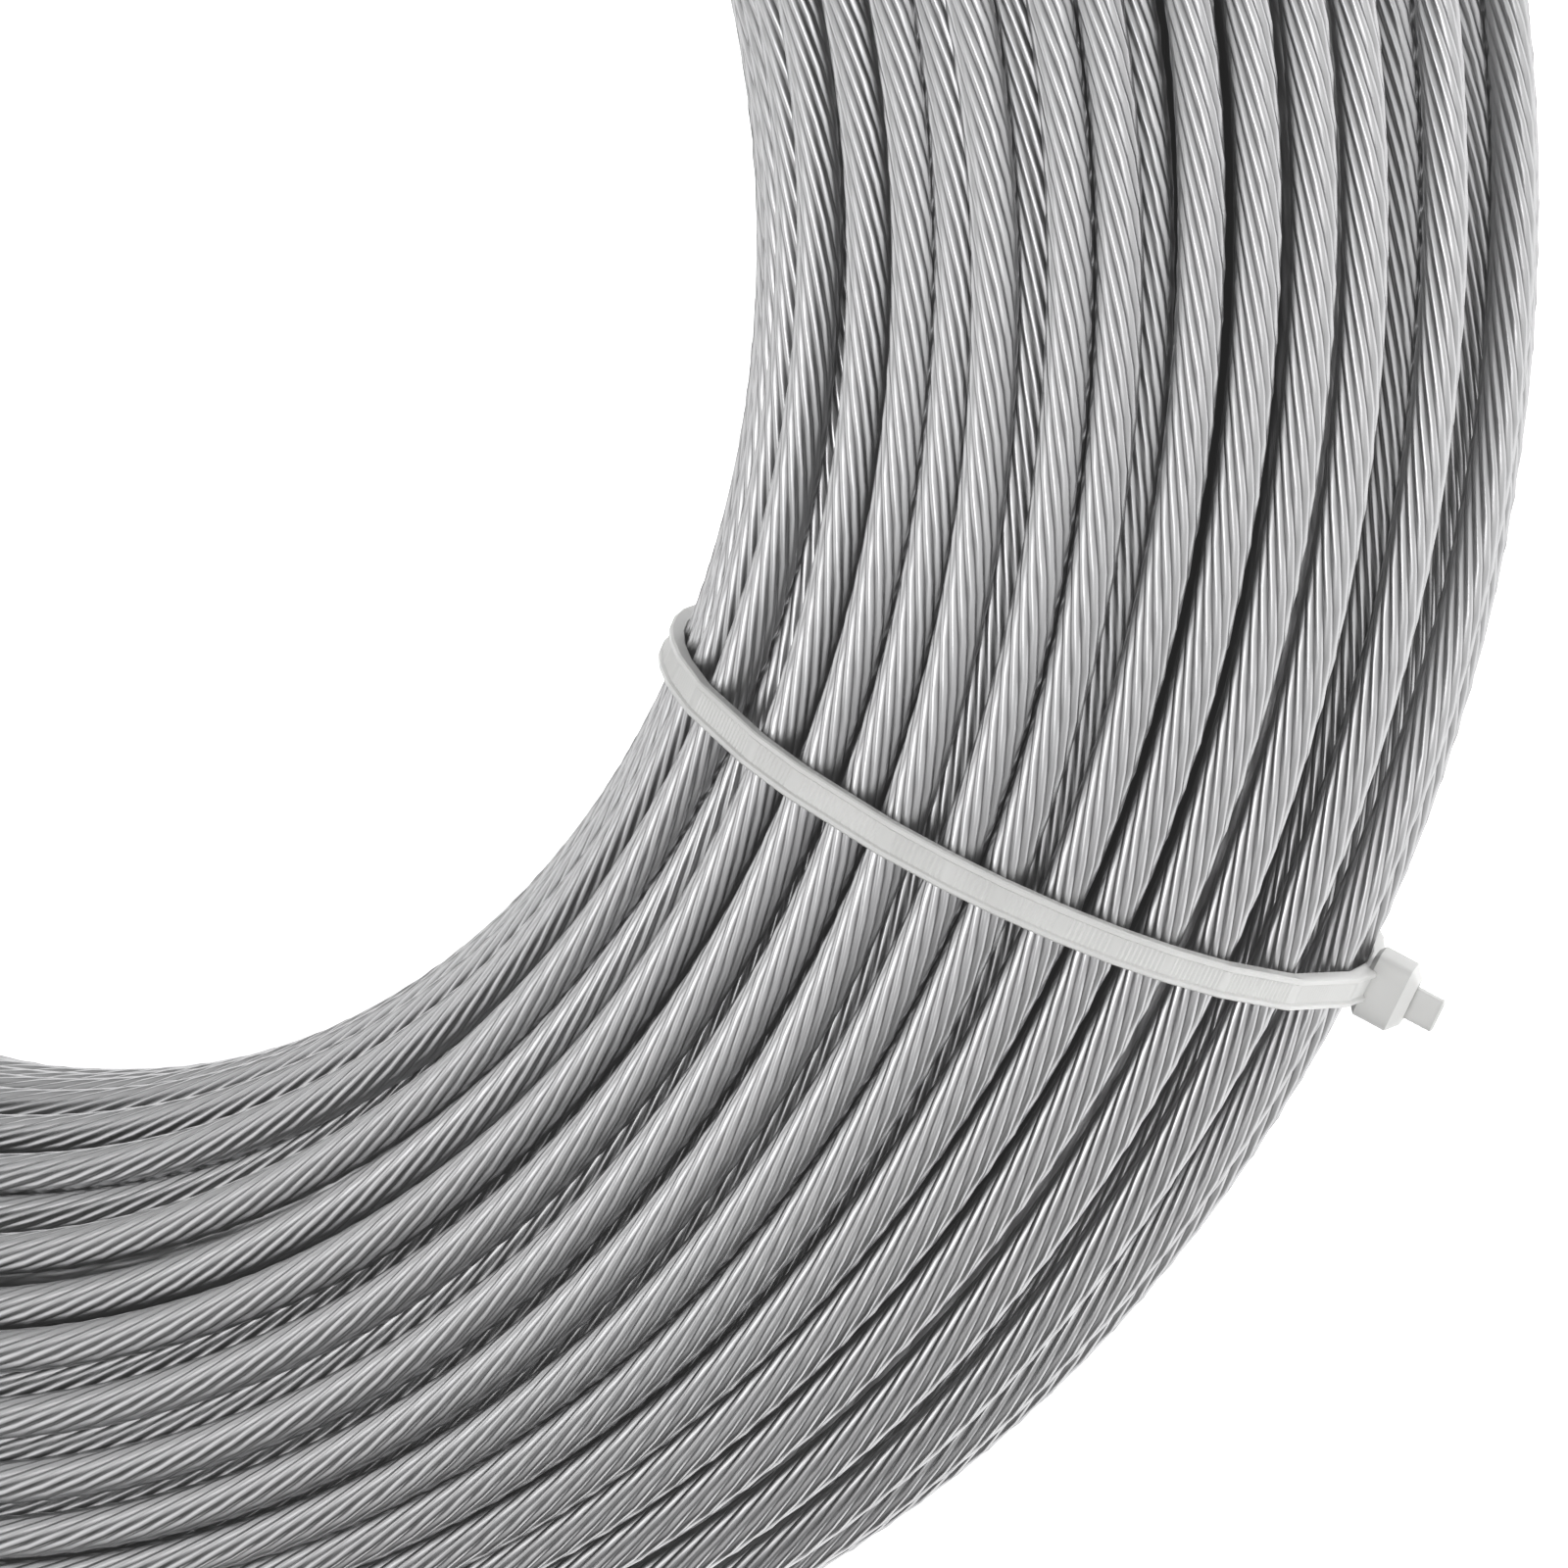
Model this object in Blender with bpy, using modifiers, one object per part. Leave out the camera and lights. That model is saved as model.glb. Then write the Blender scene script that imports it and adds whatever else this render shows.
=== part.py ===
"""Coil of stainless wire rope held by four nylon cable ties, lying flat on the floor.

Units are metres and +Z is up. The origin is on the coil's axis, at the level that the ties rest on.
The turns are wound into a thick ring. Each turn of the outer layer shows as one rounded ridge.
"""

import math

import bmesh
import bpy
from mathutils import Matrix, Vector

# Wire rope and the ring it is wound into
ROPE_DIAMETER = 0.0032
COIL_MEAN_RADIUS = 0.095
SECTION_WIDTH = 0.053
SECTION_HEIGHT = 0.060
TURN_SPACING = 1.03  # distance between neighbouring outer turns, in rope diameters
RIDGE_HALF_ANGLE = math.radians(56)  # how far round its rope each ridge shows
RIDGE_SEGMENTS = 2
RING_STEPS = 32

# Cable ties
TIE_COUNT = 4
TIE_WIDTH = 0.0025
TIE_THICKNESS = 0.0011
TIE_CLEARANCE = 0.0005  # between a tie and the crests of the turns
TIE_LEAN = math.radians(7.2)  # sideways, from the upright plane through the coil's axis
TIE_SEGMENTS = 48
HEAD_ANGLE = math.radians(-12)  # place of the head on the outer side, below the ring's mid height
HEAD_LENGTH = 0.0044  # along the band
HEAD_WIDTH = 0.0050
HEAD_HEIGHT = 0.0040  # outwards from the inside of the band
HEAD_LIFT = 0.0004  # the head's inner face lies this far outside the band's inner face
HEAD_BEVEL = 0.0005
TAIL_LENGTH = 0.0022  # the cut end that stands out of the head

# Worked out from the sizes above
ROPE_RADIUS = ROPE_DIAMETER / 2
HALF_WIDTH = SECTION_WIDTH / 2
HALF_HEIGHT = SECTION_HEIGHT / 2
MID_HEIGHT = HALF_HEIGHT + TIE_CLEARANCE + TIE_THICKNESS
SMOOTH_ANGLE = math.radians(35)
MERGE_DISTANCE = 0.00001


def clear_scene():
    """Remove every object that the file starts with."""
    for old in list(bpy.data.objects):
        bpy.data.objects.remove(old, do_unlink=True)


def new_collection(name):
    """A collection of this name, linked to the scene."""
    collection = bpy.data.collections.new(name)
    bpy.context.scene.collection.children.link(collection)
    return collection


def new_material(name, colour, roughness, metallic):
    """A Principled BSDF material with one colour."""
    material = bpy.data.materials.new(name)
    material.use_nodes = True
    shader = material.node_tree.nodes["Principled BSDF"]
    shader.inputs["Base Color"].default_value = (*colour, 1.0)
    shader.inputs["Roughness"].default_value = roughness
    shader.inputs["Metallic"].default_value = metallic
    return material


def oval(half_width, half_height, angle):
    """The point of an oval at this angle, as (outwards, up)."""
    return Vector((half_width * math.cos(angle), half_height * math.sin(angle)))


def oval_normal(half_width, half_height, angle):
    """The oval's outward unit normal at this angle."""
    return Vector((half_height * math.cos(angle), half_width * math.sin(angle))).normalized()


def even_oval_angles(half_width, half_height, spacing):
    """Angles that share an oval's outline evenly from its lowest point, an even number of them."""
    fine_count = 2880
    fine = [-math.pi / 2 - 2 * math.pi * i / fine_count for i in range(fine_count + 1)]
    travelled = [0.0]
    for before, after in zip(fine, fine[1:]):
        chord = oval(half_width, half_height, after) - oval(half_width, half_height, before)
        travelled.append(travelled[-1] + chord.length)
    count = 2 * int(travelled[-1] / (2 * spacing))
    angles = []
    place = 0
    for i in range(count):
        wanted = travelled[-1] * i / count
        while travelled[place + 1] < wanted:
            place += 1
        share = (wanted - travelled[place]) / (travelled[place + 1] - travelled[place])
        angles.append(fine[place] + share * (fine[place + 1] - fine[place]))
    return angles


def ring_profile():
    """The ring's section: an arc of rope for each outer turn, clockwise from the lowest turn."""
    path_width = HALF_WIDTH - ROPE_RADIUS
    path_height = HALF_HEIGHT - ROPE_RADIUS
    points = []
    for angle in even_oval_angles(path_width, path_height, TURN_SPACING * ROPE_DIAMETER):
        centre = oval(path_width, path_height, angle)
        outwards = oval_normal(path_width, path_height, angle)
        facing = math.atan2(outwards.y, outwards.x)
        for i in range(RIDGE_SEGMENTS + 1):
            turn = facing + RIDGE_HALF_ANGLE * (1 - 2 * i / RIDGE_SEGMENTS)
            point = centre + ROPE_RADIUS * Vector((math.cos(turn), math.sin(turn)))
            points.append((COIL_MEAN_RADIUS + point.x, 0.0, MID_HEIGHT + point.y))
    return points


def make_rope_coil(collection, material):
    """The wound rope as one turned ring with its bore."""
    points = ring_profile()
    edges = [(i, (i + 1) % len(points)) for i in range(len(points))]
    mesh = bpy.data.meshes.new("rope_coil")
    mesh.from_pydata(points, edges, [])
    coil = bpy.data.objects.new("rope_coil", mesh)
    collection.objects.link(coil)
    mesh.materials.append(material)
    screw = coil.modifiers.new("turned ring", "SCREW")
    screw.axis = "Z"
    screw.angle = 2 * math.pi
    screw.steps = RING_STEPS
    screw.render_steps = RING_STEPS
    screw.use_merge_vertices = True
    screw.merge_threshold = MERGE_DISTANCE
    screw.use_smooth_shade = False
    return coil


def add_oval_spline(curve, half_width, half_height):
    """Add a closed outline whose flats touch this oval from outside, with one flat at the bottom."""
    reach = 1 / math.cos(math.pi / TIE_SEGMENTS)
    spline = curve.splines.new("POLY")
    spline.points.add(TIE_SEGMENTS - 1)
    for i, point in enumerate(spline.points):
        angle = 2 * math.pi * (i + 0.5) / TIE_SEGMENTS
        corner = reach * oval(half_width, half_height, angle)
        point.co = (corner.x, corner.y, 0.0, 1.0)
    spline.use_cyclic_u = True


def make_band(collection):
    """The tie's band: a flat oval outline, as thick as the band is wide, round the ring's section."""
    curve = bpy.data.curves.new("tie_band", "CURVE")
    curve.dimensions = "2D"
    curve.fill_mode = "BOTH"
    curve.extrude = TIE_WIDTH / 2
    inner = TIE_CLEARANCE
    outer = TIE_CLEARANCE + TIE_THICKNESS
    add_oval_spline(curve, HALF_WIDTH + outer, HALF_HEIGHT + outer)
    add_oval_spline(curve, HALF_WIDTH + inner, HALF_HEIGHT + inner)
    flat = bpy.data.objects.new("tie_band_outline", curve)
    collection.objects.link(flat)
    bpy.context.view_layer.update()
    mesh = bpy.data.meshes.new_from_object(flat.evaluated_get(bpy.context.evaluated_depsgraph_get()))
    bpy.data.objects.remove(flat, do_unlink=True)
    welded = bmesh.new()
    welded.from_mesh(mesh)
    bmesh.ops.remove_doubles(welded, verts=welded.verts, dist=MERGE_DISTANCE)
    bmesh.ops.recalc_face_normals(welded, faces=welded.faces)
    welded.to_mesh(mesh)
    welded.free()
    band = bpy.data.objects.new("tie_band", mesh)
    collection.objects.link(band)
    return band


def make_block(name, collection, size, centre, turn):
    """A box of this size in the band's plane, turned to face outwards."""
    block = bmesh.new()
    place = Matrix.Translation((centre.x, centre.y, 0.0)) @ Matrix.Rotation(turn, 4, "Z")
    scale = Matrix.Diagonal((*size, 1.0))
    bmesh.ops.create_cube(block, size=1.0, matrix=place @ scale)
    mesh = bpy.data.meshes.new(name)
    block.to_mesh(mesh)
    block.free()
    made = bpy.data.objects.new(name, mesh)
    collection.objects.link(made)
    made.hide_render = True
    made.display_type = "WIRE"
    return made


def make_tie_mesh(collection, material):
    """One moulded tie: its band, its head and the cut tail that stands out of the head."""
    inside = Vector((HALF_WIDTH + TIE_CLEARANCE, HALF_HEIGHT + TIE_CLEARANCE))
    seat = oval(inside.x, inside.y, HEAD_ANGLE)
    outwards = oval_normal(inside.x, inside.y, HEAD_ANGLE)
    turn = math.atan2(outwards.y, outwards.x)
    depth = HEAD_HEIGHT - HEAD_LIFT
    head_centre = seat + outwards * (HEAD_LIFT + depth / 2)
    head = make_block("tie_head", collection, (depth, HEAD_LENGTH, HEAD_WIDTH), head_centre, turn)
    bevel = head.modifiers.new("rounded edges", "BEVEL")
    bevel.width = HEAD_BEVEL
    bevel.segments = 2
    tail_depth = TAIL_LENGTH + HEAD_HEIGHT / 2
    tail_centre = seat + outwards * (HEAD_HEIGHT / 2 + tail_depth / 2)
    tail = make_block("tie_tail", collection, (tail_depth, TIE_THICKNESS, TIE_WIDTH), tail_centre, turn)
    band = make_band(collection)
    for piece in (head, tail):
        union = band.modifiers.new("join " + piece.name, "BOOLEAN")
        union.operation = "UNION"
        union.solver = "EXACT"
        union.object = piece
    bpy.context.view_layer.update()
    mesh = bpy.data.meshes.new_from_object(band.evaluated_get(bpy.context.evaluated_depsgraph_get()))
    mesh.name = "cable_tie"
    bpy.data.objects.remove(band, do_unlink=True)
    mesh.materials.clear()
    mesh.materials.append(material)
    mesh.shade_smooth()
    mesh.set_sharp_from_angle(angle=SMOOTH_ANGLE)
    return mesh


def make_ties(collection, mesh):
    """Equal ties round the ring, each pushed sideways with its height, so that its underside stays level."""
    upright = Matrix.Rotation(math.pi / 2, 4, "X")
    lean = Matrix.Shear("XY", 4, (0.0, math.tan(TIE_LEAN)))
    mesh.transform(lean @ upright)
    section = Matrix.Translation((COIL_MEAN_RADIUS, 0.0, MID_HEIGHT))
    for i in range(TIE_COUNT):
        tie = bpy.data.objects.new(f"cable_tie_{i + 1}", mesh)
        collection.objects.link(tie)
        tie.matrix_world = Matrix.Rotation(2 * math.pi * i / TIE_COUNT, 4, "Z") @ section


def main():
    clear_scene()
    pieces = new_collection("wire_rope_coil")
    cutters = new_collection("cutters")
    steel = new_material("stainless_wire", (0.55, 0.55, 0.56), 0.32, 1.0)
    nylon = new_material("natural_nylon", (0.80, 0.80, 0.77), 0.38, 0.0)
    make_rope_coil(pieces, steel)
    make_ties(pieces, make_tie_mesh(cutters, nylon))


main()
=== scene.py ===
"""Looks of the coil of wire rope: its outer turns wire by wire, its cable ties, floor, light and camera."""

import math

import bpy
import numpy as np
from mathutils import Matrix, Vector


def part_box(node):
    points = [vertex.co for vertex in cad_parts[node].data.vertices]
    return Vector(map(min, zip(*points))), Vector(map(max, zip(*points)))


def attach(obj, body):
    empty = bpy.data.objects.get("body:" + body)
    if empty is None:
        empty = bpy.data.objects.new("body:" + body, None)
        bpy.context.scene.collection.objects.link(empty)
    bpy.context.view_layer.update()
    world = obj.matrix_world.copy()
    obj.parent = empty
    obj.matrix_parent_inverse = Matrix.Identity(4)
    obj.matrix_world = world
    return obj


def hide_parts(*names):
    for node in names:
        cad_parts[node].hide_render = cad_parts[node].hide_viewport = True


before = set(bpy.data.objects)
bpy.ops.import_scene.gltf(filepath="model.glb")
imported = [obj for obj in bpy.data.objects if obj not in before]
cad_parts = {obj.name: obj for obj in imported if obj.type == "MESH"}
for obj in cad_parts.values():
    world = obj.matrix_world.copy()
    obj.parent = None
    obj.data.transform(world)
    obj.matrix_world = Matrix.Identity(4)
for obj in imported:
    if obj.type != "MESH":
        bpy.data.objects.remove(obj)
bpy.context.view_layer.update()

# Sizes read from the frame
MM = 0.001
coil_low, coil_high = (np.array(corner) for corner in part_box("rope_coil"))

# The coil and its rope, as in the CAD source
ROPE_DIAMETER = 3.2 * MM
COIL_RADIUS = 95 * MM
HALF_WIDTH = coil_high[0] - COIL_RADIUS
HALF_HEIGHT = (coil_high[2] - coil_low[2]) / 2
MID_HEIGHT = (coil_high[2] + coil_low[2]) / 2

# The strand: twelve wires show, round six, round one, laid left-handed
OUTER_WIRES = 12
LAY_LENGTH = 33.6 * MM
WIRE_RADIUS = 0.1  # in rope diameters
WIRE_PATH_RADIUS = 0.41
GROOVE_RISE = 0.01
SHOULDER = math.radians(30)  # a wire's two modelled shoulders, either side of its crest
RINGS_PER_LAY = 10
INNER_SIDES = 12
INNER_RINGS_PER_LAY = 5

# The winding: the outer layer's turns, counted round the section from its lower outer side
OUTER_TURNS = 54
INNER_TURNS = 34
INNER_DEPTH = 1.55  # in rope diameters, as are the places, steps and depths below
TOUCHING = 0.95  # the distance between two turns that touch, because their wires nest a little
PIECES_OF_ROPE = 5
STATIONS = 48  # places round the coil where the turns are settled against each other
SETTLE_ROUNDS = 90
LOOSE_PULL = 0.06  # the share of the way to its wish that a loose turn moves in each round
FIRM_PULL = 0.3  # what a firm one adds to that
FIRM_HOLD = 0.85  # how much less a firm turn gives way
STRAIGHTENING = 0.5  # the share of the way to the middle of its neighbours along the rope
PARTING = 0.8  # the share of an overlap that a round takes away
SEED = 7
FIRST_ANGLE = math.radians(190)  # both ends of the outer layer lie here, behind the camera's view
FIRST_PLACE = -8.8  # along the section's outline from its outermost point
SHIFTS = (0.0, 1.1, 2.2, 2.9)  # how much further the turns that aren't shown lie at the shown angles
EVEN_STEP = 1.03  # from the last turn on to the first one
BLUR_REACH = STATIONS // 16
SEEN_MIDDLE = math.radians(-8)  # the camera sees this angle round the coil, and a share of a turn either side
SEEN_SHARE = 0.15
SEEN_PLACES = (-3, 24)  # and, of the section's outline, what lies between these places
WANDER = 1.1  # how far the outer layer's unseen turns wander along the outline
INNER_WANDER = 0.9  # the same for the second layer
WANDERS_PER_TURN = 3.2
SINKING = 0.9  # how deep the unseen turns sink at most
SINKS_PER_TURN = 1.7
START_DEPTH = 1.1  # the rope's start is sunk between the turns, and comes up over this share of a turn
START_SHARE = 0.35
SHOWN_ANGLES = (30, 0, -30, -50)  # degrees round the coil, from the photograph's top edge to its left edge
PAST_EDGE_ANGLE = 45
# Each turn that the photograph shows: the places on the coil's skin where its middle shows at those angles.
# Where it isn't in the outermost row, its four depths follow.
SHOWN_TURNS = (
    (-3.0, -1.5, 0.3, 1.2),
    (-1.9, -0.3, 1.5, 2.3),
    (-0.8, 0.9, 2.6, 3.3),
    (-0.9, 2.2, 3.7, 4.3),
    (1.2, 2.9, 4.3, 4.8, 0.7, 1.0, 1.1, 1.1),
    (2.8, 3.75, 4.8, 5.3),
    (4.0, 4.8, 5.4, 5.8, 0.6, 0.85, 1.0, 1.0),
    (5.1, 5.6, 6.1, 6.5),
    (6.25, 6.95, 7.5, 7.9),
    (7.45, 8.1, 8.7, 9.1),
    (8.6, 9.2, 9.6, 9.9),
    (9.7, 9.9, 10.1, 10.3, 0.6, 1.0, 1.1, 1.1),
    (10.4, 10.3, 10.6, 10.9),
    (11.2, 11.2, 11.4, 11.6),
    (11.95, 11.8, 11.9, 12.0, 0.5, 0.9, 1.1, 1.1),
    (12.75, 12.4, 12.35, 12.5),
    (13.1, 12.95, 12.9, 13.1, 1.2, 1.1, 0.9, 0.7),
    (13.45, 13.4, 13.4, 13.7, 0.5, 0.0, 0.0, 0.0),
    (13.9, 13.95, 14.1, 14.35, 1.0, 0.9, 0.7, 0.7),
    (14.3, 14.5, 14.85, 15.1),
    (14.9, 15.1, 15.35, 16.0, 1.2, 1.1, 0.9, 0.5),
    (15.45, 15.55, 15.85, 16.7),
    (16.1, 16.6, 17.1, 17.6, 0.9, 0.4, 0.2, 0.2),
    (16.8, 17.8, 18.5, 18.9),
    (17.5, 18.5, 19.3, 20.0, 1.1, 1.0, 0.7, 0.4),
    (18.1, 19.3, 20.6, 21.3),
    (19.2, 20.7, 22.2, 22.9),
    (20.3, 21.8, 23.4, 24.1),
    (21.4, 22.9, 24.5, 25.2),
)
FIRST_SHOWN = 5  # the count of turns before the first one shown
TRIED_PLACES = (-8, 30, 3801)  # first, last and how many, when a place behind the skin is looked for

# Cable ties
TIE_ANGLES = {"cable_tie_1": 0, "cable_tie_2": 90, "cable_tie_3": 180, "cable_tie_4": 270}
TIE_WIDTH = 2.5 * MM
TIE_THICKNESS = 1.1 * MM
TIE_LEAN = math.tan(math.radians(7.2))
TIE_GAP = 0.05 * MM  # between a tie and the ropes that it holds
SEAT_GAP = 0.5 * MM  # the same under the coil, where the tie lies on the floor
RAIL = 0.40 * MM  # width of the smooth rail along each edge of the band
RECESS = 0.20 * MM
TOOTH_PITCH = 0.40 * MM
TOOTH_HEIGHT = 0.07 * MM
HEAD_PLACE = math.radians(-12)  # on the section's oval, from its outermost point
HEAD_LIFT = 0.4 * MM
HEAD_HEIGHT = 4.0 * MM
HEAD_LENGTH = 4.4 * MM  # along the band
HEAD_WIDTH = 5.0 * MM
TAIL_LENGTH = 2.2 * MM

# The camera and the photograph's frame
PHOTO_SIZE = 1600
FOCAL_PIXELS = 6336
CAMERA_AIM = (77.96 * MM, -8.29 * MM, 31.6 * MM)
CAMERA_AZIMUTH = math.radians(47.98)
CAMERA_ELEVATION = math.radians(62.68)
CAMERA_DISTANCE = 447.8 * MM
CAMERA_ROLL = math.radians(-110.58)


def toward_camera():
    """The unit vector from the point that the camera looks at to the camera."""
    return np.array([
        math.cos(CAMERA_ELEVATION) * math.cos(CAMERA_AZIMUTH),
        math.cos(CAMERA_ELEVATION) * math.sin(CAMERA_AZIMUTH),
        math.sin(CAMERA_ELEVATION),
    ])


def make_camera():
    """The camera looks at one point of the coil, rolled to put the coil's near side at the upper right."""
    toward = Vector(toward_camera())
    right = Vector((0, 0, 1)).cross(toward).normalized()
    up = toward.cross(right)
    turned_right = math.cos(CAMERA_ROLL) * right + math.sin(CAMERA_ROLL) * up
    turned_up = -math.sin(CAMERA_ROLL) * right + math.cos(CAMERA_ROLL) * up
    data = bpy.data.cameras.new("camera")
    data.sensor_width = 36.0
    data.lens = FOCAL_PIXELS / PHOTO_SIZE * data.sensor_width
    data.clip_start = 0.01
    data.clip_end = 20
    camera = bpy.data.objects.new("camera", data)
    bpy.context.scene.collection.objects.link(camera)
    turn = Matrix((turned_right, turned_up, toward)).transposed()
    place = Vector(CAMERA_AIM) + CAMERA_DISTANCE * toward
    camera.matrix_world = Matrix.Translation(place) @ turn.to_4x4()
    bpy.context.scene.camera = camera
    return camera


# Winding


def oval_outline(half_width, half_height):
    """Even steps round an oval: a function from distance to point and normal, and the oval's length.

    The oval is (w cos a, h sin a). Its length is summed over fine chords and turned round by interpolation.
    """
    angle = np.linspace(0, 2 * np.pi, 4001)
    points = np.stack([half_width * np.cos(angle), half_height * np.sin(angle)], 1)
    travelled = np.concatenate([[0], np.cumsum(np.linalg.norm(np.diff(points, axis=0), axis=1))])

    def at(distance):
        a = np.interp(np.mod(distance, travelled[-1]), travelled, angle)
        point = np.stack([half_width * np.cos(a), half_height * np.sin(a)], -1)
        normal = np.stack([half_height * np.cos(a), half_width * np.sin(a)], -1)
        return point, normal / np.linalg.norm(normal, axis=-1, keepdims=True)

    return at, travelled[-1]


def smooth_noise(rng, count, spacing, skew=1.0):
    """A wavy line of count values: random knots every spacing values, joined by a cubic (Catmull-Rom)."""
    knots = rng.random(int(count / spacing) + 5) ** skew
    place = np.arange(count) / spacing
    i = place.astype(int)
    t = place - i
    a, b, c, d = knots[i], knots[i + 1], knots[i + 2], knots[i + 3]
    return b + 0.5 * t * (c - a + t * (2 * a - 5 * b + 4 * c - d + t * (3 * (b - c) + d - a)))


def smoothstep(low, high, value):
    """0 below low, 1 above high, and 3t^2 - 2t^3 between."""
    t = np.clip((value - low) / (high - low), 0, 1)
    return t * t * (3 - 2 * t)


def blurred(values, reach):
    """Each value averaged with its neighbours up to reach away, twice over."""
    kernel = np.ones(2 * reach + 1) / (2 * reach + 1)
    for _ in range(2):
        values = np.convolve(np.pad(values, reach, mode="edge"), kernel, mode="valid")
    return values


def turn_share(angle):
    """How far through each turn the rope passes this angle round the coil, from 0 to 1."""
    return (angle - FIRST_ANGLE) % (2 * math.pi) / (2 * math.pi)


def behind_skin(places, depths, angle):
    """Where turns lie whose middles show at these places on the coil's skin, seen by the camera.

    Seen in the section, a turn's middle q lies on the line of sight v through the skin point p. So its place
    is where |(q - p) x v| is least on the side that faces the camera. A turn at the edge of what shows would
    come out at the same place as the next one, so it is put at least one diameter before it.
    """
    eye = np.array(CAMERA_AIM) + CAMERA_DISTANCE * toward_camera()
    eye_out = math.cos(angle) * eye[0] + math.sin(angle) * eye[1] - COIL_RADIUS
    eye_in_section = np.array([eye_out, eye[2] - MID_HEIGHT])
    at, _ = oval_outline(HALF_WIDTH - ROPE_DIAMETER / 2, HALF_HEIGHT - ROPE_DIAMETER / 2)
    tried = np.linspace(*TRIED_PLACES)
    point, normal = at(tried * ROPE_DIAMETER)
    found = []
    for place, depth in zip(places, depths):
        centre, outwards = at(place * ROPE_DIAMETER)
        skin = centre + outwards * ROPE_DIAMETER / 2
        sight = (eye_in_section - skin) / np.linalg.norm(eye_in_section - skin)
        middle = point - normal * depth * ROPE_DIAMETER - skin
        miss = np.abs(middle[:, 0] * sight[1] - middle[:, 1] * sight[0])
        found.append(tried[np.where(normal @ sight > 0, miss, 1).argmin()])
    for k in range(len(found) - 2, -1, -1):
        if depths[k] == 0:
            next_out = k + 1 if depths[k + 1] < 0.5 else k + 2
            found[k] = min(found[k], found[next_out] - 1)
    return np.array(found)


def outer_layer(rng):
    """Where the outer layer's turns would like to lie in the section, and how firmly, station by station.

    A shown turn passes its four places and depths at the shown angles. The others share the rest of the
    outline evenly. Past the picture's top edge a turn runs on as straight as it came. Between those knots
    the place and the depth run straight, and are then blurred. Away from the camera's view they wander by a
    smooth noise, and some turns sink a little. A turn is firm where the camera sees it in the outermost row.
    """
    at, length = oval_outline(HALF_WIDTH - ROPE_DIAMETER / 2, HALF_HEIGHT - ROPE_DIAMETER / 2)
    before = FIRST_SHOWN
    after = OUTER_TURNS - before - len(SHOWN_TURNS)
    shown = np.array([row + (0,) * (8 - len(row)) for row in SHOWN_TURNS], float)
    for k, angle in enumerate(SHOWN_ANGLES):
        shown[:, k] = behind_skin(shown[:, k], shown[:, k + 4], math.radians(angle))
    first = np.concatenate([FIRST_PLACE + np.array(SHIFTS), np.zeros(4)])
    last = first + np.repeat([length / ROPE_DIAMETER - EVEN_STEP, 0], 4)
    leading = first + (np.arange(before) / before)[:, None] * (shown[0] - first)
    closing = shown[-1] + (np.arange(1, after + 1) / after)[:, None] * (last - shown[-1])
    rows = np.concatenate([leading, shown, closing])
    places, depths = rows[:, :4], rows[:, 4:]
    onward = (PAST_EDGE_ANGLE - SHOWN_ANGLES[0]) / (SHOWN_ANGLES[0] - SHOWN_ANGLES[1])
    past_edge = places[:, 0] + onward * (places[:, 0] - places[:, 1])
    places = np.column_stack([places[:, ::-1], past_edge])
    depths = np.column_stack([depths[:, ::-1], depths[:, 0]])
    shares = np.array([turn_share(math.radians(angle)) for angle in (*SHOWN_ANGLES[::-1], PAST_EDGE_ANGLE)])
    knots = (np.arange(OUTER_TURNS)[:, None] + shares).ravel()
    count = OUTER_TURNS * STATIONS + 1
    t = np.arange(count) / STATIONS
    place = blurred(np.interp(t, knots, places.ravel()), BLUR_REACH)
    depth = blurred(np.interp(t, knots, depths.ravel()), BLUR_REACH)
    away = smoothstep(0.02, 0.16, np.abs(t % 1 - turn_share(SEEN_MIDDLE)) - SEEN_SHARE)
    place += away * (smooth_noise(rng, count, STATIONS / WANDERS_PER_TURN) - 0.5) * WANDER
    depth += away * SINKING * smooth_noise(rng, count, STATIONS / SINKS_PER_TURN, skew=4.0)
    depth += START_DEPTH * (1 - smoothstep(0.0, START_SHARE, t))
    point, normal = at(place * ROPE_DIAMETER)
    first_seen, last_seen = SEEN_PLACES
    seen = smoothstep(first_seen - 1, first_seen, place) * (1 - smoothstep(last_seen, last_seen + 2, place))
    firm = (1 - away) * seen * (1 - smoothstep(0.1, 0.4, depth))
    return point - normal * (depth * ROPE_DIAMETER)[:, None], firm


def inner_layer(rng):
    """Where the second layer's turns would like to lie: evenly round a smaller oval, back the other way."""
    inset = ROPE_DIAMETER * (0.5 + INNER_DEPTH)
    at, length = oval_outline(HALF_WIDTH - inset, HALF_HEIGHT - inset)
    count = INNER_TURNS * STATIONS + 1
    along = -np.arange(count) / (count - 1) * length
    along += (smooth_noise(rng, count, STATIONS / WANDERS_PER_TURN) - 0.5) * INNER_WANDER * ROPE_DIAMETER
    return at(along)[0]


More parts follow.
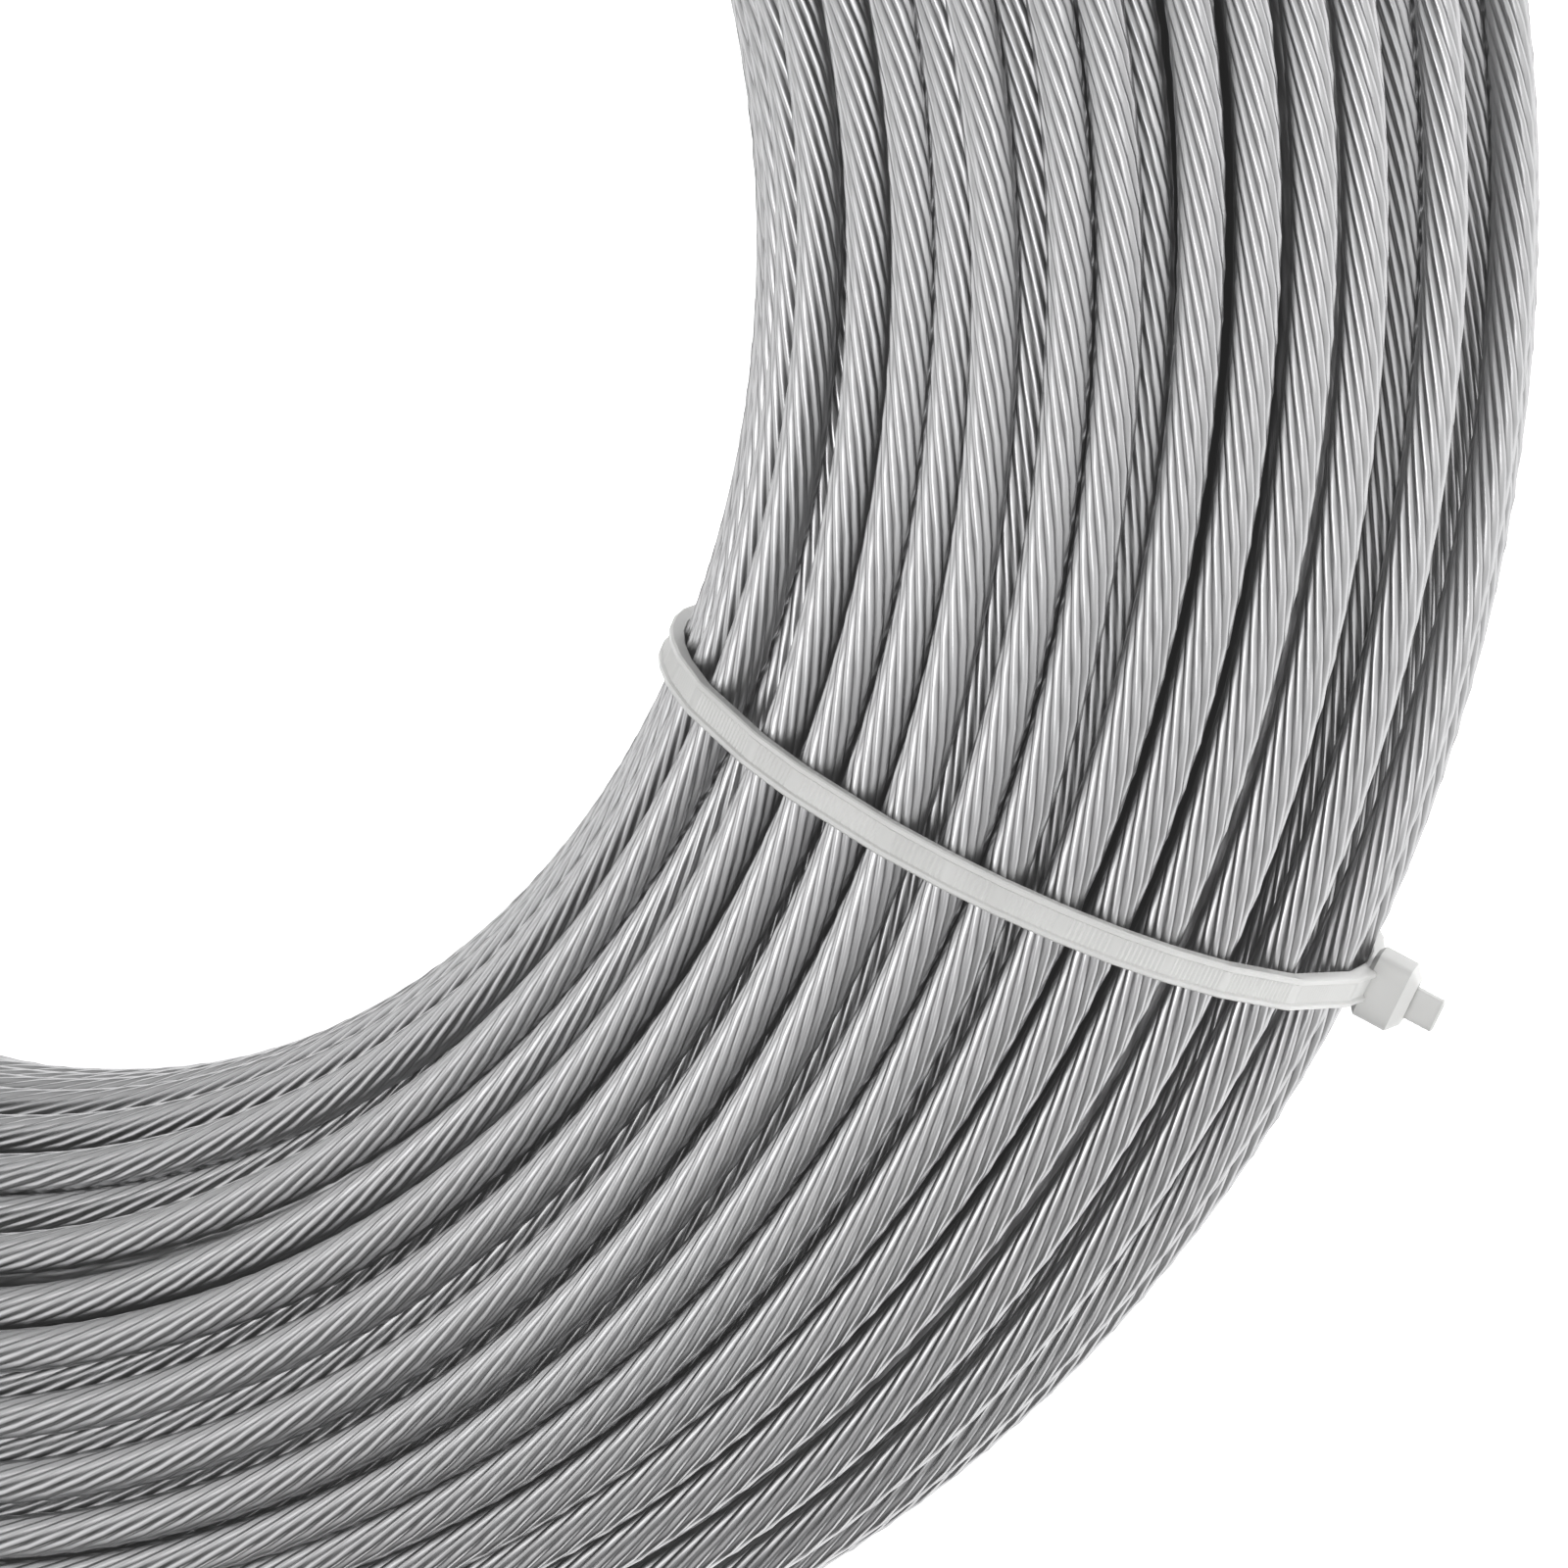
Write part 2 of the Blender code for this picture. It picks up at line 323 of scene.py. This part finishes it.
def settle(outer, firm, inner):
    """Push touching turns apart, keep each one smooth along its length and near where it would like to lie.

    Each round moves every turn a little toward its wish and toward the middle of its own neighbours along the
    rope, and then parts each pair in a section that lies too close. A firm turn gives way less than a loose
    one. No turn leaves the oval that the outermost row lies on.
    """
    wish = np.concatenate([outer, inner])
    firm = np.concatenate([firm, np.zeros(len(inner))])
    pull = LOOSE_PULL + FIRM_PULL * firm
    give = 1 - FIRM_HOLD * firm
    place = wish.copy()
    firsts = [0, len(outer)]
    lasts = [len(outer), len(wish)]
    station = np.concatenate([np.arange(len(outer)) % STATIONS, np.arange(len(inner)) % STATIONS])
    members = [np.flatnonzero(station == s) for s in range(STATIONS)]
    width = HALF_WIDTH - ROPE_DIAMETER / 2
    height = HALF_HEIGHT - ROPE_DIAMETER / 2
    for _ in range(SETTLE_ROUNDS):
        place += pull[:, None] * (wish - place)
        for first, last in zip(firsts, lasts):
            run = place[first:last]
            middle = (run[:-2] + run[2:]) / 2
            run[1:-1] += STRAIGHTENING * (middle - run[1:-1])
        for group in members:
            here = place[group]
            apart = here[:, None] - here[None]
            gap = np.linalg.norm(apart, axis=2)
            np.fill_diagonal(gap, 1)
            share = give[group][:, None] / (give[group][:, None] + give[group][None])
            push = np.clip(TOUCHING * ROPE_DIAMETER - gap, 0, None) / gap * share
            here = here + PARTING * (apart * push[:, :, None]).sum(1)
            reach = np.hypot(here[:, 0] / width, here[:, 1] / height)
            here /= np.maximum(reach, 1)[:, None]
            place[group] = here
    return place[: len(outer)], place[len(outer):]


def route(section_points, spacing):
    """The centreline in space of one layer, with even steps.

    A section point (x, z) at turn angle p becomes ((R + x) cos p, (R + x) sin p, mid height + z). The
    stations are joined by a cubic, and the result is measured and sampled again at even lengths.
    """
    count = len(section_points)
    finer = 8
    t = np.arange((count - 1) * finer + 1) / finer
    i = np.minimum(t.astype(int), count - 2)
    f = (t - i)[:, None]
    before_first = 2 * section_points[:1] - section_points[1:2]
    after_last = 2 * section_points[-1:] - section_points[-2:-1]
    padded = np.concatenate([before_first, section_points, after_last])
    a, b, c, d = padded[i], padded[i + 1], padded[i + 2], padded[i + 3]
    local = b + 0.5 * f * (c - a + f * (2 * a - 5 * b + 4 * c - d + f * (3 * (b - c) + d - a)))
    angle = FIRST_ANGLE + 2 * np.pi * t / STATIONS
    radius = COIL_RADIUS + local[:, 0]
    line = np.stack([radius * np.cos(angle), radius * np.sin(angle), MID_HEIGHT + local[:, 1]], 1)
    travelled = np.concatenate([[0], np.cumsum(np.linalg.norm(np.diff(line, axis=0), axis=1))])
    steps = int(round(travelled[-1] / spacing))
    wanted = np.linspace(0, travelled[-1], steps + 1)
    turns = np.interp(wanted, travelled, t / STATIONS)
    return np.stack([np.interp(wanted, travelled, line[:, k]) for k in range(3)], 1), wanted, turns


# Surfaces


def strand_outline():
    """Points round a strand whose outer wires are round: a groove and two shoulders for each wire.

    A shoulder is at the wire's path radius plus the wire's radius turned by the shoulder angle. A groove is
    filled to a little above the wires' path, as deep as it shows. Returned as (angle, radius, how deep).
    """
    step = 2 * math.pi / OUTER_WIRES
    reach = WIRE_PATH_RADIUS + WIRE_RADIUS * math.cos(SHOULDER)
    aside = WIRE_RADIUS * math.sin(SHOULDER)
    shoulder_angle = math.atan2(aside, reach)
    shoulder_radius = math.hypot(aside, reach)
    groove_radius = WIRE_PATH_RADIUS + GROOVE_RISE
    one = np.array([
        [-step / 2, groove_radius, 1.0],
        [-shoulder_angle, shoulder_radius, 0.0],
        [shoulder_angle, shoulder_radius, 0.0],
    ])
    angle = one[None, :, 0] + np.arange(OUTER_WIRES)[:, None] * step
    return angle.ravel(), np.tile(one[:, 1], OUTER_WIRES), np.tile(one[:, 2], OUTER_WIRES)


def wrapped_quads(rings, sides, closed):
    """Four corners for each cell of a grid that wraps round its sides and, if closed, its rings as well."""
    i, j = np.meshgrid(np.arange(rings if closed else rings - 1), np.arange(sides), indexing="ij")
    above, beside = (i + 1) % rings, (j + 1) % sides
    corners = [i * sides + j, i * sides + beside, above * sides + beside, above * sides + j]
    return np.stack(corners, -1).reshape(-1, 4)


def loft(points):
    """A closed skin over rings of points, with a fan of triangles over each end, ready for mesh_of.

    The rings run anticlockwise about the way that they follow each other. Each fan meets at its ring's
    middle.
    """
    rings, sides = points.shape[:2]
    quads = wrapped_quads(rings, sides, closed=False)
    vertices = np.concatenate([points.reshape(-1, 3), points[:1].mean(1), points[-1:].mean(1)])
    middle = rings * sides
    j = np.arange(sides)
    beside = (j + 1) % sides
    last = (rings - 1) * sides
    start_fan = np.stack([np.full(sides, middle), beside, j], 1)
    end_fan = np.stack([np.full(sides, middle + 1), last + j, last + beside], 1)
    corners = np.concatenate([quads.ravel(), start_fan.ravel(), end_fan.ravel()])
    return vertices, corners, np.concatenate([np.full(len(quads), 4), np.full(2 * sides, 3)])


def joined(skins):
    """Several skins as one, with the corners counted on."""
    counts = np.cumsum([0] + [len(skin[0]) for skin in skins[:-1]])
    vertices = np.concatenate([skin[0] for skin in skins])
    corners = np.concatenate([skin[1] + count for skin, count in zip(skins, counts)])
    return vertices, corners, np.concatenate([skin[2] for skin in skins])


def tube_mesh(name, line, travelled, angle, radius, groove):
    """A closed tube along a line: ring i holds line[i] + D (r cos b N + r sin b B), with b = angle - twist.

    T is the line's direction, N is straight up less its share along T, and B is T x N. The twist is 2 pi
    times the distance over the lay length, and it is taken away, so that the wires are laid left-handed.
    """
    tangent = np.gradient(line, axis=0)
    tangent /= np.linalg.norm(tangent, axis=1, keepdims=True)
    upward = np.array([0, 0, 1.0]) - tangent[:, 2:3] * tangent
    upward /= np.linalg.norm(upward, axis=1, keepdims=True)
    side = np.cross(tangent, upward)
    twist = 2 * np.pi * travelled / LAY_LENGTH
    b = angle[None] - twist[:, None]
    ring = upward[:, None] * (radius * np.cos(b))[..., None] + side[:, None] * (radius * np.sin(b))[..., None]
    points = line[:, None] + ROPE_DIAMETER * ring
    rings, sides = points.shape[:2]
    middle = rings * sides
    mesh = mesh_of(name, *loft(points))
    quad_j = np.tile(np.arange(sides), rings - 1)
    quad_i = np.repeat(np.arange(rings - 1), sides)
    across = np.stack([quad_j, quad_j + 1, quad_j + 1, quad_j], 1) / sides
    lengthwise = travelled[np.stack([quad_i, quad_i, quad_i + 1, quad_i + 1], 1)] / LAY_LENGTH
    cap_uv = np.zeros((2 * sides * 3, 2))
    uv = np.concatenate([np.stack([across.ravel(), lengthwise.ravel()], 1), cap_uv])
    layer = mesh.uv_layers.new(name="strand")
    layer.data.foreach_set("uv", uv.astype(np.float32).ravel())
    # The groove attribute is 1 in the grooves and 0 on the wires' shoulders; the wire's material darkens its
    # colour there as painted shade.
    depth = mesh.attributes.new("groove", "FLOAT", "POINT")
    values = np.concatenate([np.tile(groove, rings), [1.0, 1.0]])
    depth.data.foreach_set("value", values.astype(np.float32))
    edges = np.empty(len(mesh.edges) * 2, np.int32)
    mesh.edges.foreach_get("vertices", edges)
    edges = edges.reshape(-1, 2)
    inside = edges.max(1) < middle
    in_groove = (groove[edges[:, 0] % sides] > 0.5) & (np.abs(edges[:, 0] - edges[:, 1]) == sides)
    ring = edges // sides
    at_end = (ring[:, 0] == ring[:, 1]) & ((ring[:, 0] == 0) | (ring[:, 0] == rings - 1))
    sharp = mesh.attributes.new("sharp_edge", "BOOLEAN", "EDGE")
    sharp.data.foreach_set("value", inside & (in_groove | at_end))
    return mesh


def mesh_of(name, vertices, corners, sizes):
    """A smooth mesh from arrays: vertices, all faces' corners in a row, and each face's corner count."""
    mesh = bpy.data.meshes.new(name)
    mesh.vertices.add(len(vertices))
    mesh.vertices.foreach_set("co", np.asarray(vertices, np.float32).ravel())
    mesh.loops.add(len(corners))
    mesh.loops.foreach_set("vertex_index", np.asarray(corners, np.int32))
    mesh.polygons.add(len(sizes))
    starts = np.concatenate([[0], np.cumsum(sizes)[:-1]])
    mesh.polygons.foreach_set("loop_start", starts.astype(np.int32))
    mesh.polygons.foreach_set("use_smooth", np.ones(len(sizes), bool))
    mesh.update(calc_edges=True)
    mesh.validate()
    return mesh


def place_piece(name, mesh, material, nodes=()):
    """Link a finished mesh as a piece that rides on the coil's one body."""
    piece = bpy.data.objects.new(name, mesh)
    bpy.context.scene.collection.objects.link(piece)
    mesh.materials.append(material)
    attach(piece, "root")
    if nodes:
        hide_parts(*nodes)
    return piece


# Materials


class Link:
    """A shader socket that adds its Math node when it is used in an expression."""

    def __init__(self, nodes, socket):
        self.nodes = nodes
        self.socket = socket

    def math(self, operation, *values):
        return self.nodes.add("ShaderNodeMath", {"operation": operation}, dict(enumerate(values)))

    def __add__(self, other):
        return self.math("ADD", self, other)

    def __radd__(self, other):
        return self.math("ADD", other, self)

    def __rsub__(self, other):
        return self.math("SUBTRACT", other, self)

    def __mul__(self, other):
        return self.math("MULTIPLY", self, other)

    def __pow__(self, other):
        return self.math("POWER", self, other)


class Nodes:
    """The nodes of one material or world, made by type, settings and the values or links of their sockets."""

    def __init__(self, owner, shader="Principled BSDF"):
        self.owner = owner
        self.owner.use_nodes = True
        self.tree = self.owner.node_tree
        self.shader = self.tree.nodes[shader]

    def add(self, kind, settings=None, sockets=None, output=0):
        """Add a node of this kind, and return the link of one of its outputs."""
        node = self.tree.nodes.new(kind)
        for key, value in (settings or {}).items():
            setattr(node, key, value)
        for key, value in (sockets or {}).items():
            self.put(node.inputs[key], value)
        return Link(self, node.outputs[output])

    def put(self, socket, value):
        """Join a link to a socket, or set the socket's own value."""
        if isinstance(value, Link):
            self.tree.links.new(value.socket, socket)
        else:
            socket.default_value = value

    def finish(self, **sockets):
        """Set the shader's sockets by their names, with underscores for spaces."""
        for key, value in sockets.items():
            self.put(self.shader.inputs[key.replace("_", " ")], value)
        return self.owner


def stainless_wire():
    """Bright drawn wire: grey metal with drawing lines and faint blotches along it, and duller grooves whose
    colour is darkened as painted shade.
    """
    n = Nodes(bpy.data.materials.new("stainless_wire"))
    uv = n.add("ShaderNodeUVMap", {"uv_map": "strand"})
    groove = n.add("ShaderNodeAttribute", {"attribute_name": "groove"}, output=2)
    flat = {"noise_dimensions": "2D"}
    line_place = n.add("ShaderNodeMapping", {}, {"Vector": uv, "Scale": (120.0, 1.5, 1.0)})
    streak = n.add("ShaderNodeTexNoise", flat, {"Vector": line_place, "Scale": 1.0, "Detail": 3.0})
    blotch_place = n.add("ShaderNodeMapping", {}, {"Vector": uv, "Scale": (10.0, 3.0, 1.0)})
    blotch = n.add("ShaderNodeTexNoise", flat, {"Vector": blotch_place, "Scale": 1.0, "Detail": 2.0})
    # Painted shade: the colour is darkened by up to 0.3 in the grooves between the wires, where they are also
    # made duller.
    depth = groove ** 2.2
    shade = (1 - depth * 0.3) * (0.86 + streak * 0.18 + blotch * 0.10)
    colour = n.add("ShaderNodeMix", {"data_type": "RGBA", "blend_type": "MULTIPLY"},
                   {"Factor": 1.0, 6: (0.52, 0.52, 0.525, 1), 7: shade}, output=2)
    bump = n.add("ShaderNodeBump", {}, {"Strength": 0.12, "Distance": 0.03 * MM, "Height": streak})
    roughness = 0.26 + streak * 0.12 + depth * 0.25
    return n.finish(Base_Color=colour, Metallic=1.0, Roughness=roughness, Normal=bump)


def natural_nylon():
    """Natural nylon: milky, slightly clear, with a soft sheen."""
    n = Nodes(bpy.data.materials.new("natural_nylon"))
    place = n.add("ShaderNodeTexCoord", output=3)
    cloud = n.add("ShaderNodeTexNoise", {}, {"Vector": place, "Scale": 300.0, "Detail": 2.0})
    colour = n.add("ShaderNodeMix", {"data_type": "RGBA"},
                   {"Factor": cloud, 6: (0.64, 0.64, 0.63, 1), 7: (0.70, 0.70, 0.69, 1)}, output=2)
    n.shader.inputs["Subsurface Weight"].default_value = 0.5
    n.shader.inputs["Subsurface Radius"].default_value = (0.001, 0.001, 0.001)
    return n.finish(Base_Color=colour, Roughness=0.32 + cloud * 0.1)


def dark_core():
    """The hidden turns: dull steel coloured near black, as painted shade for the deep inside of the coil."""
    n = Nodes(bpy.data.materials.new("hidden_steel_painted_shade"))
    place = n.add("ShaderNodeTexCoord", output=3)
    cloud = n.add("ShaderNodeTexNoise", {}, {"Vector": place, "Scale": 200.0})
    # Painted shade: a base colour near black stands for the shade deep among the turns.
    return n.finish(Base_Color=(0.06, 0.06, 0.06, 1), Metallic=0.6, Roughness=0.5 + cloud * 0.2)


# Pieces


def make_outer_rope(outer_points, material):
    """The outermost layer as one long spiral of rope, in pieces that meet end to end under the third tie."""
    line, travelled, turns = route(outer_points, LAY_LENGTH / RINGS_PER_LAY)
    angle, radius, groove = strand_outline()
    whole_turns = np.arange(1, PIECES_OF_ROPE) * OUTER_TURNS // PIECES_OF_ROPE
    under_tie = whole_turns - 1 + turn_share(math.radians(TIE_ANGLES["cable_tie_3"]))
    cuts = [0, *np.searchsorted(turns, under_tie), len(line) - 1]
    for k in range(PIECES_OF_ROPE):
        part = slice(cuts[k], cuts[k + 1] + 1)
        name = f"outer_rope_{k + 1}"
        mesh = tube_mesh(name, line[part], travelled[part], angle, radius, groove)
        piece = place_piece(name, mesh, material, ["rope_coil"] if k == 0 else ())
        if k < PIECES_OF_ROPE - 1:
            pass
        else:
            end = make_cut_end(line, travelled, material)


def make_cut_end(line, travelled, material):
    """The rope's cut face: one wire, six round it and twelve round those, each a short flat-ended stub."""
    forward = (line[-1] - line[-2]) / np.linalg.norm(line[-1] - line[-2])
    upward = np.array([0, 0, 1.0]) - forward[2] * forward
    upward /= np.linalg.norm(upward)
    side = np.cross(forward, upward)
    twist = 2 * math.pi * travelled[-1] / LAY_LENGTH
    turn = 2 * np.pi * np.arange(16) / 16
    stubs = []
    for wires, reach in ((1, 0.0), (6, 0.2), (12, WIRE_PATH_RADIUS)):
        for k in range(wires):
            b = 2 * math.pi * k / wires - twist
            centre = line[-1] + ROPE_DIAMETER * reach * (math.cos(b) * upward + math.sin(b) * side)
            rings = []
            for ahead, share in ((-0.3, 1.0), (0.10, 1.0), (0.13, 0.9)):
                size = share * 0.97 * WIRE_RADIUS * ROPE_DIAMETER
                around = np.cos(turn)[:, None] * upward + np.sin(turn)[:, None] * side
                rings.append(centre + ahead * ROPE_DIAMETER * forward + size * around)
            stubs.append(loft(np.array(rings)))
    mesh = mesh_of("rope_cut_end", *joined(stubs))
    mesh.set_sharp_from_angle(angle=math.radians(40))
    return place_piece("rope_cut_end", mesh, material)


def make_inner_rope(inner_points, material):
    """The layer under the outermost one, seen only through its gaps, with plainer grooves."""
    line, travelled, _ = route(inner_points, LAY_LENGTH / INNER_RINGS_PER_LAY)
    count = INNER_SIDES
    angle = 2 * np.pi * np.arange(count) / count
    odd = np.arange(count) % 2
    radius = np.where(odd == 1, 0.5, 0.43)
    # Every other point is a groove, where the wire's material darkens the colour as painted shade.
    mesh = tube_mesh("inner_rope", line, travelled, angle, radius, 1.0 - odd)
    piece = place_piece("inner_rope", mesh, material)


def make_core(material):
    """The hidden turns as one plain ring under the second layer."""
    depth = 2.5 * ROPE_DIAMETER
    rings, sides = 96, 48
    p = 2 * np.pi * np.arange(rings)[:, None] / rings
    a = 2 * np.pi * np.arange(sides)[None] / sides
    reach = COIL_RADIUS + (HALF_WIDTH - depth) * np.cos(a)
    height = MID_HEIGHT + (HALF_HEIGHT - depth) * np.sin(a) + 0 * p
    points = np.stack([reach * np.cos(p), reach * np.sin(p), height], -1)
    quads = wrapped_quads(rings, sides, closed=True)[:, ::-1]
    mesh = mesh_of("hidden_turns", points.reshape(-1, 3), quads.ravel(), np.full(len(quads), 4))
    place_piece("hidden_turns", mesh, material)


def turns_at(section_points, angle):
    """Where one layer's turns pass a tie that leans: one section point for each turn.

    The leaning tie meets a turn at height z when it is (lean times z over the turn's radius) further round.
    """
    turns = (len(section_points) - 1) // STATIONS
    station = (np.arange(turns) + turn_share(angle)) * STATIONS
    rows = np.arange(len(section_points))
    found = np.stack([np.interp(station, rows, section_points[:, k]) for k in range(2)], 1)
    further = TIE_LEAN * found[:, 1] / (COIL_RADIUS + found[:, 0]) / (2 * np.pi) * STATIONS
    return np.stack([np.interp(station + further, rows, section_points[:, k]) for k in range(2)], 1)


def band_path(turns):
    """The line of a tie's inside: a loop pulled tight round the ropes' circles, in even steps.

    For each direction it touches the circle that reaches furthest that way, at centre + radius n. Between two
    circles it runs straight. Underneath, the gap grows until the tie's outside reaches the floor.
    """
    angle = np.linspace(0, 2 * np.pi, 4321)
    normal = np.stack([np.cos(angle), np.sin(angle)], 1)
    furthest = (turns @ normal.T).argmax(0)
    gap = TIE_GAP + (SEAT_GAP - TIE_GAP) * smoothstep(0.2, 0.9, -normal[:, 1])
    loop = turns[furthest] + normal * (ROPE_DIAMETER / 2 + gap)[:, None]
    loop[:, 1] = np.maximum(loop[:, 1], TIE_THICKNESS - MID_HEIGHT)
    travelled = np.concatenate([[0], np.cumsum(np.linalg.norm(np.diff(loop, axis=0), axis=1))])
    teeth = int(round(travelled[-1] / TOOTH_PITCH))
    even = np.arange(2 * teeth) * travelled[-1] / (2 * teeth)
    path = np.stack([np.interp(even, travelled, loop[:, k]) for k in range(2)], 1)
    facing = np.interp(even, travelled, angle)
    return path, np.stack([np.cos(facing), np.sin(facing)], 1)


def tie_place(section, across, angle):
    """Points of a tie in space: (u, v) in its section and a distance across, leaned and turned to its angle.

    Before the turn a point is (R + u, lean times v + across, mid height + v).
    """
    x = COIL_RADIUS + section[..., 0]
    y = TIE_LEAN * section[..., 1] + across
    cosine, sine = math.cos(angle), math.sin(angle)
    return np.stack([x * cosine - y * sine, x * sine + y * cosine, MID_HEIGHT + section[..., 1]], -1)


def band_skin(path, facing, seat, angle):
    """The band: a flat bar carried round the path, with two smooth rails and a toothed recess between."""
    half = TIE_WIDTH / 2
    floor = TIE_THICKNESS - RECESS
    edge = 0.12 * MM
    profile = np.array([
        [-half + edge, 0, 0], [-half, edge, 0], [-half, TIE_THICKNESS - 1.3 * edge, 0],
        [-half + edge, TIE_THICKNESS, 0], [-half + RAIL, TIE_THICKNESS, 0], [-half + RAIL + edge, floor, 1],
        [half - RAIL - edge, floor, 1], [half - RAIL, TIE_THICKNESS, 0], [half - edge, TIE_THICKNESS, 0],
        [half, TIE_THICKNESS - 1.3 * edge, 0], [half, edge, 0], [half - edge, 0, 0],
    ])
    tooth = (np.arange(len(path)) % 2 - 0.5) * TOOTH_HEIGHT
    near_head = np.linalg.norm(path - seat, axis=1)
    swell = 1 + 0.35 * np.exp(-(near_head / (3 * MM)) ** 2)
    height = profile[None, :, 1] * swell[:, None] + profile[None, :, 2] * tooth[:, None]
    section = path[:, None] + facing[:, None] * height[..., None]
    across = np.broadcast_to(profile[None, :, 0], height.shape)
    quads = wrapped_quads(len(path), len(profile), closed=True)
    return tie_place(section, across, angle).reshape(-1, 3), quads.ravel(), np.full(len(quads), 4)


def block_skin(seat, outwards, levels, angle):
    """A block that grows outwards from the seat through levels of (height, half length, half width).

    Each level is a rounded rectangle: (l |cos t|^p, w |sin t|^p) with their signs, where p is a quarter.
    """
    t = 2 * np.pi * (np.arange(40) + 0.5) / 40
    along = np.array([-outwards[1], outwards[0]])
    rings = []
    for height, half_length, half_width in levels:
        lengthwise = -half_length * np.sign(np.cos(t)) * np.abs(np.cos(t)) ** 0.25
        across = half_width * np.sign(np.sin(t)) * np.abs(np.sin(t)) ** 0.25
        section = seat + height * outwards + lengthwise[:, None] * along
        rings.append(tie_place(section, across, angle))
    return loft(np.array(rings))


def make_ties(outer_points, inner_points, material):
    """The cable ties, each pulled tight round its turns: band, head with its slot, and cut tail."""
    half_length, half_width = HEAD_LENGTH / 2, HEAD_WIDTH / 2
    slot_length, slot_width = TIE_THICKNESS / 2 + 0.3 * MM, TIE_WIDTH / 2 + 0.3 * MM
    chamfer = 0.75 * MM
    top = HEAD_HEIGHT
    head_levels = (
        (HEAD_LIFT, half_length - 0.4 * MM, half_width - 0.4 * MM),
        (HEAD_LIFT + 0.35 * MM, half_length, half_width),
        (top - chamfer, half_length, half_width),
        (top - 0.05 * MM, half_length - chamfer, half_width - chamfer),
        (top, half_length - chamfer - 0.1 * MM, half_width - chamfer - 0.1 * MM),
        (top, slot_length + 0.1 * MM, slot_width + 0.1 * MM),
        (top - 0.12 * MM, slot_length, slot_width),
        (top - 0.8 * MM, slot_length, slot_width),
    )
    tail_levels = [(top - 1.2 * MM, TIE_THICKNESS / 2, TIE_WIDTH / 2)]
    ribs = 10
    for k in range(ribs + 1):
        thinner = 0.035 * MM * (k % 2)
        height = top - 0.6 * MM + k / ribs * (TAIL_LENGTH + 0.45 * MM)
        tail_levels.append((height, TIE_THICKNESS / 2 - thinner, TIE_WIDTH / 2 - thinner))
    tail_levels.append((top + TAIL_LENGTH, TIE_THICKNESS / 2 - 0.15 * MM, TIE_WIDTH / 2 - 0.15 * MM))
    for name, degrees in TIE_ANGLES.items():
        angle = math.radians(degrees)
        turns = np.concatenate([turns_at(outer_points, angle), turns_at(inner_points, angle)])
        path, facing = band_path(turns)
        outwards = np.array([HALF_HEIGHT * math.cos(HEAD_PLACE), HALF_WIDTH * math.sin(HEAD_PLACE)])
        outwards /= np.linalg.norm(outwards)
        seat = path[(facing @ outwards).argmax()]
        skins = [
            band_skin(path, facing, seat, angle),
            block_skin(seat, outwards, head_levels, angle),
            block_skin(seat, outwards, tail_levels, angle),
        ]
        mesh = mesh_of(f"{name}_moulded", *joined(skins))
        mesh.set_sharp_from_angle(angle=math.radians(38))
        place_piece(f"{name}_moulded", mesh, material, [name])


def make_floor():
    """A plain pale floor, a little lit from within as a light table is."""
    n = Nodes(bpy.data.materials.new("floor"))
    n.shader.inputs["Emission Color"].default_value = (1, 1, 1, 1)
    n.shader.inputs["Emission Strength"].default_value = 0.75
    material = n.finish(Base_Color=(0.85, 0.85, 0.85, 1), Roughness=0.9)
    mesh = bpy.data.meshes.new("floor")
    half = 4.0
    corners = [(-half, -half, 0), (half, -half, 0), (half, half, 0), (-half, half, 0)]
    mesh.from_pydata(corners, [], [(0, 1, 2, 3)])
    mesh.materials.append(material)
    floor = bpy.data.objects.new("floor", mesh)
    bpy.context.scene.collection.objects.link(floor)


def make_light(camera):
    """Soft studio light: an even room with four soft lights and a dark side, placed by the camera's own axes.

    The room's brightness in a direction d is an even value plus, for each light, its brightness times a
    smooth step of d . axis, from 0 at the cosine of its outer angle to 1 at the cosine of its inner angle.
    The dark side is a light of negative brightness.
    """
    world = bpy.data.worlds.new("studio")
    bpy.context.scene.world = world
    view = bpy.context.scene.view_settings
    view.view_transform = "Standard"
    view.gamma = 0.85  # the photograph's strong contrast
    view.use_curve_mapping = True
    view.curve_mapping.black_level = (-0.03, -0.03, -0.03)  # a little stray light in the lens
    view.curve_mapping.update()
    turn = camera.matrix_world.to_3x3()
    right, up, toward = turn.col[0], turn.col[1], turn.col[2]
    # Each light's axis, inner angle, outer angle and brightness
    lights = (
        (0.97 * toward + 0.05 * right - 0.25 * up, 12, 38, 0.4),
        (0.87 * toward - 0.40 * right - 0.28 * up, 7, 20, 2.8),
        (-0.99 * right + 0.05 * up, 12, 36, 0.8),
        (0.55 * toward + 0.80 * right - 0.20 * up, 20, 55, 0.28),
        (-0.25 * right - 0.95 * up, 18, 38, -0.68),
    )
    n = Nodes(world, "Background")
    direction = n.add("ShaderNodeTexCoord")
    brightness = 0.70
    for axis, inner, outer, most in lights:
        operands = {0: direction, 1: axis.normalized()}
        toward_axis = n.add("ShaderNodeVectorMath", {"operation": "DOT_PRODUCT"}, operands, output=1)
        edge, full = math.cos(math.radians(outer)), math.cos(math.radians(inner))
        step = {"Value": toward_axis, "From Min": edge, "From Max": full, "To Max": most}
        brightness = brightness + n.add("ShaderNodeMapRange", {"interpolation_type": "SMOOTHSTEP"}, step)
    n.finish(Color=(1, 1, 1, 1), Strength=brightness)


camera = make_camera()
rng = np.random.default_rng(SEED)
outer_turns, inner_turns = settle(*outer_layer(rng), inner_layer(rng))
steel = stainless_wire()
make_outer_rope(outer_turns, steel)
make_inner_rope(inner_turns, steel)
make_core(dark_core())
make_ties(outer_turns, inner_turns, natural_nylon())
make_floor()
make_light(camera)
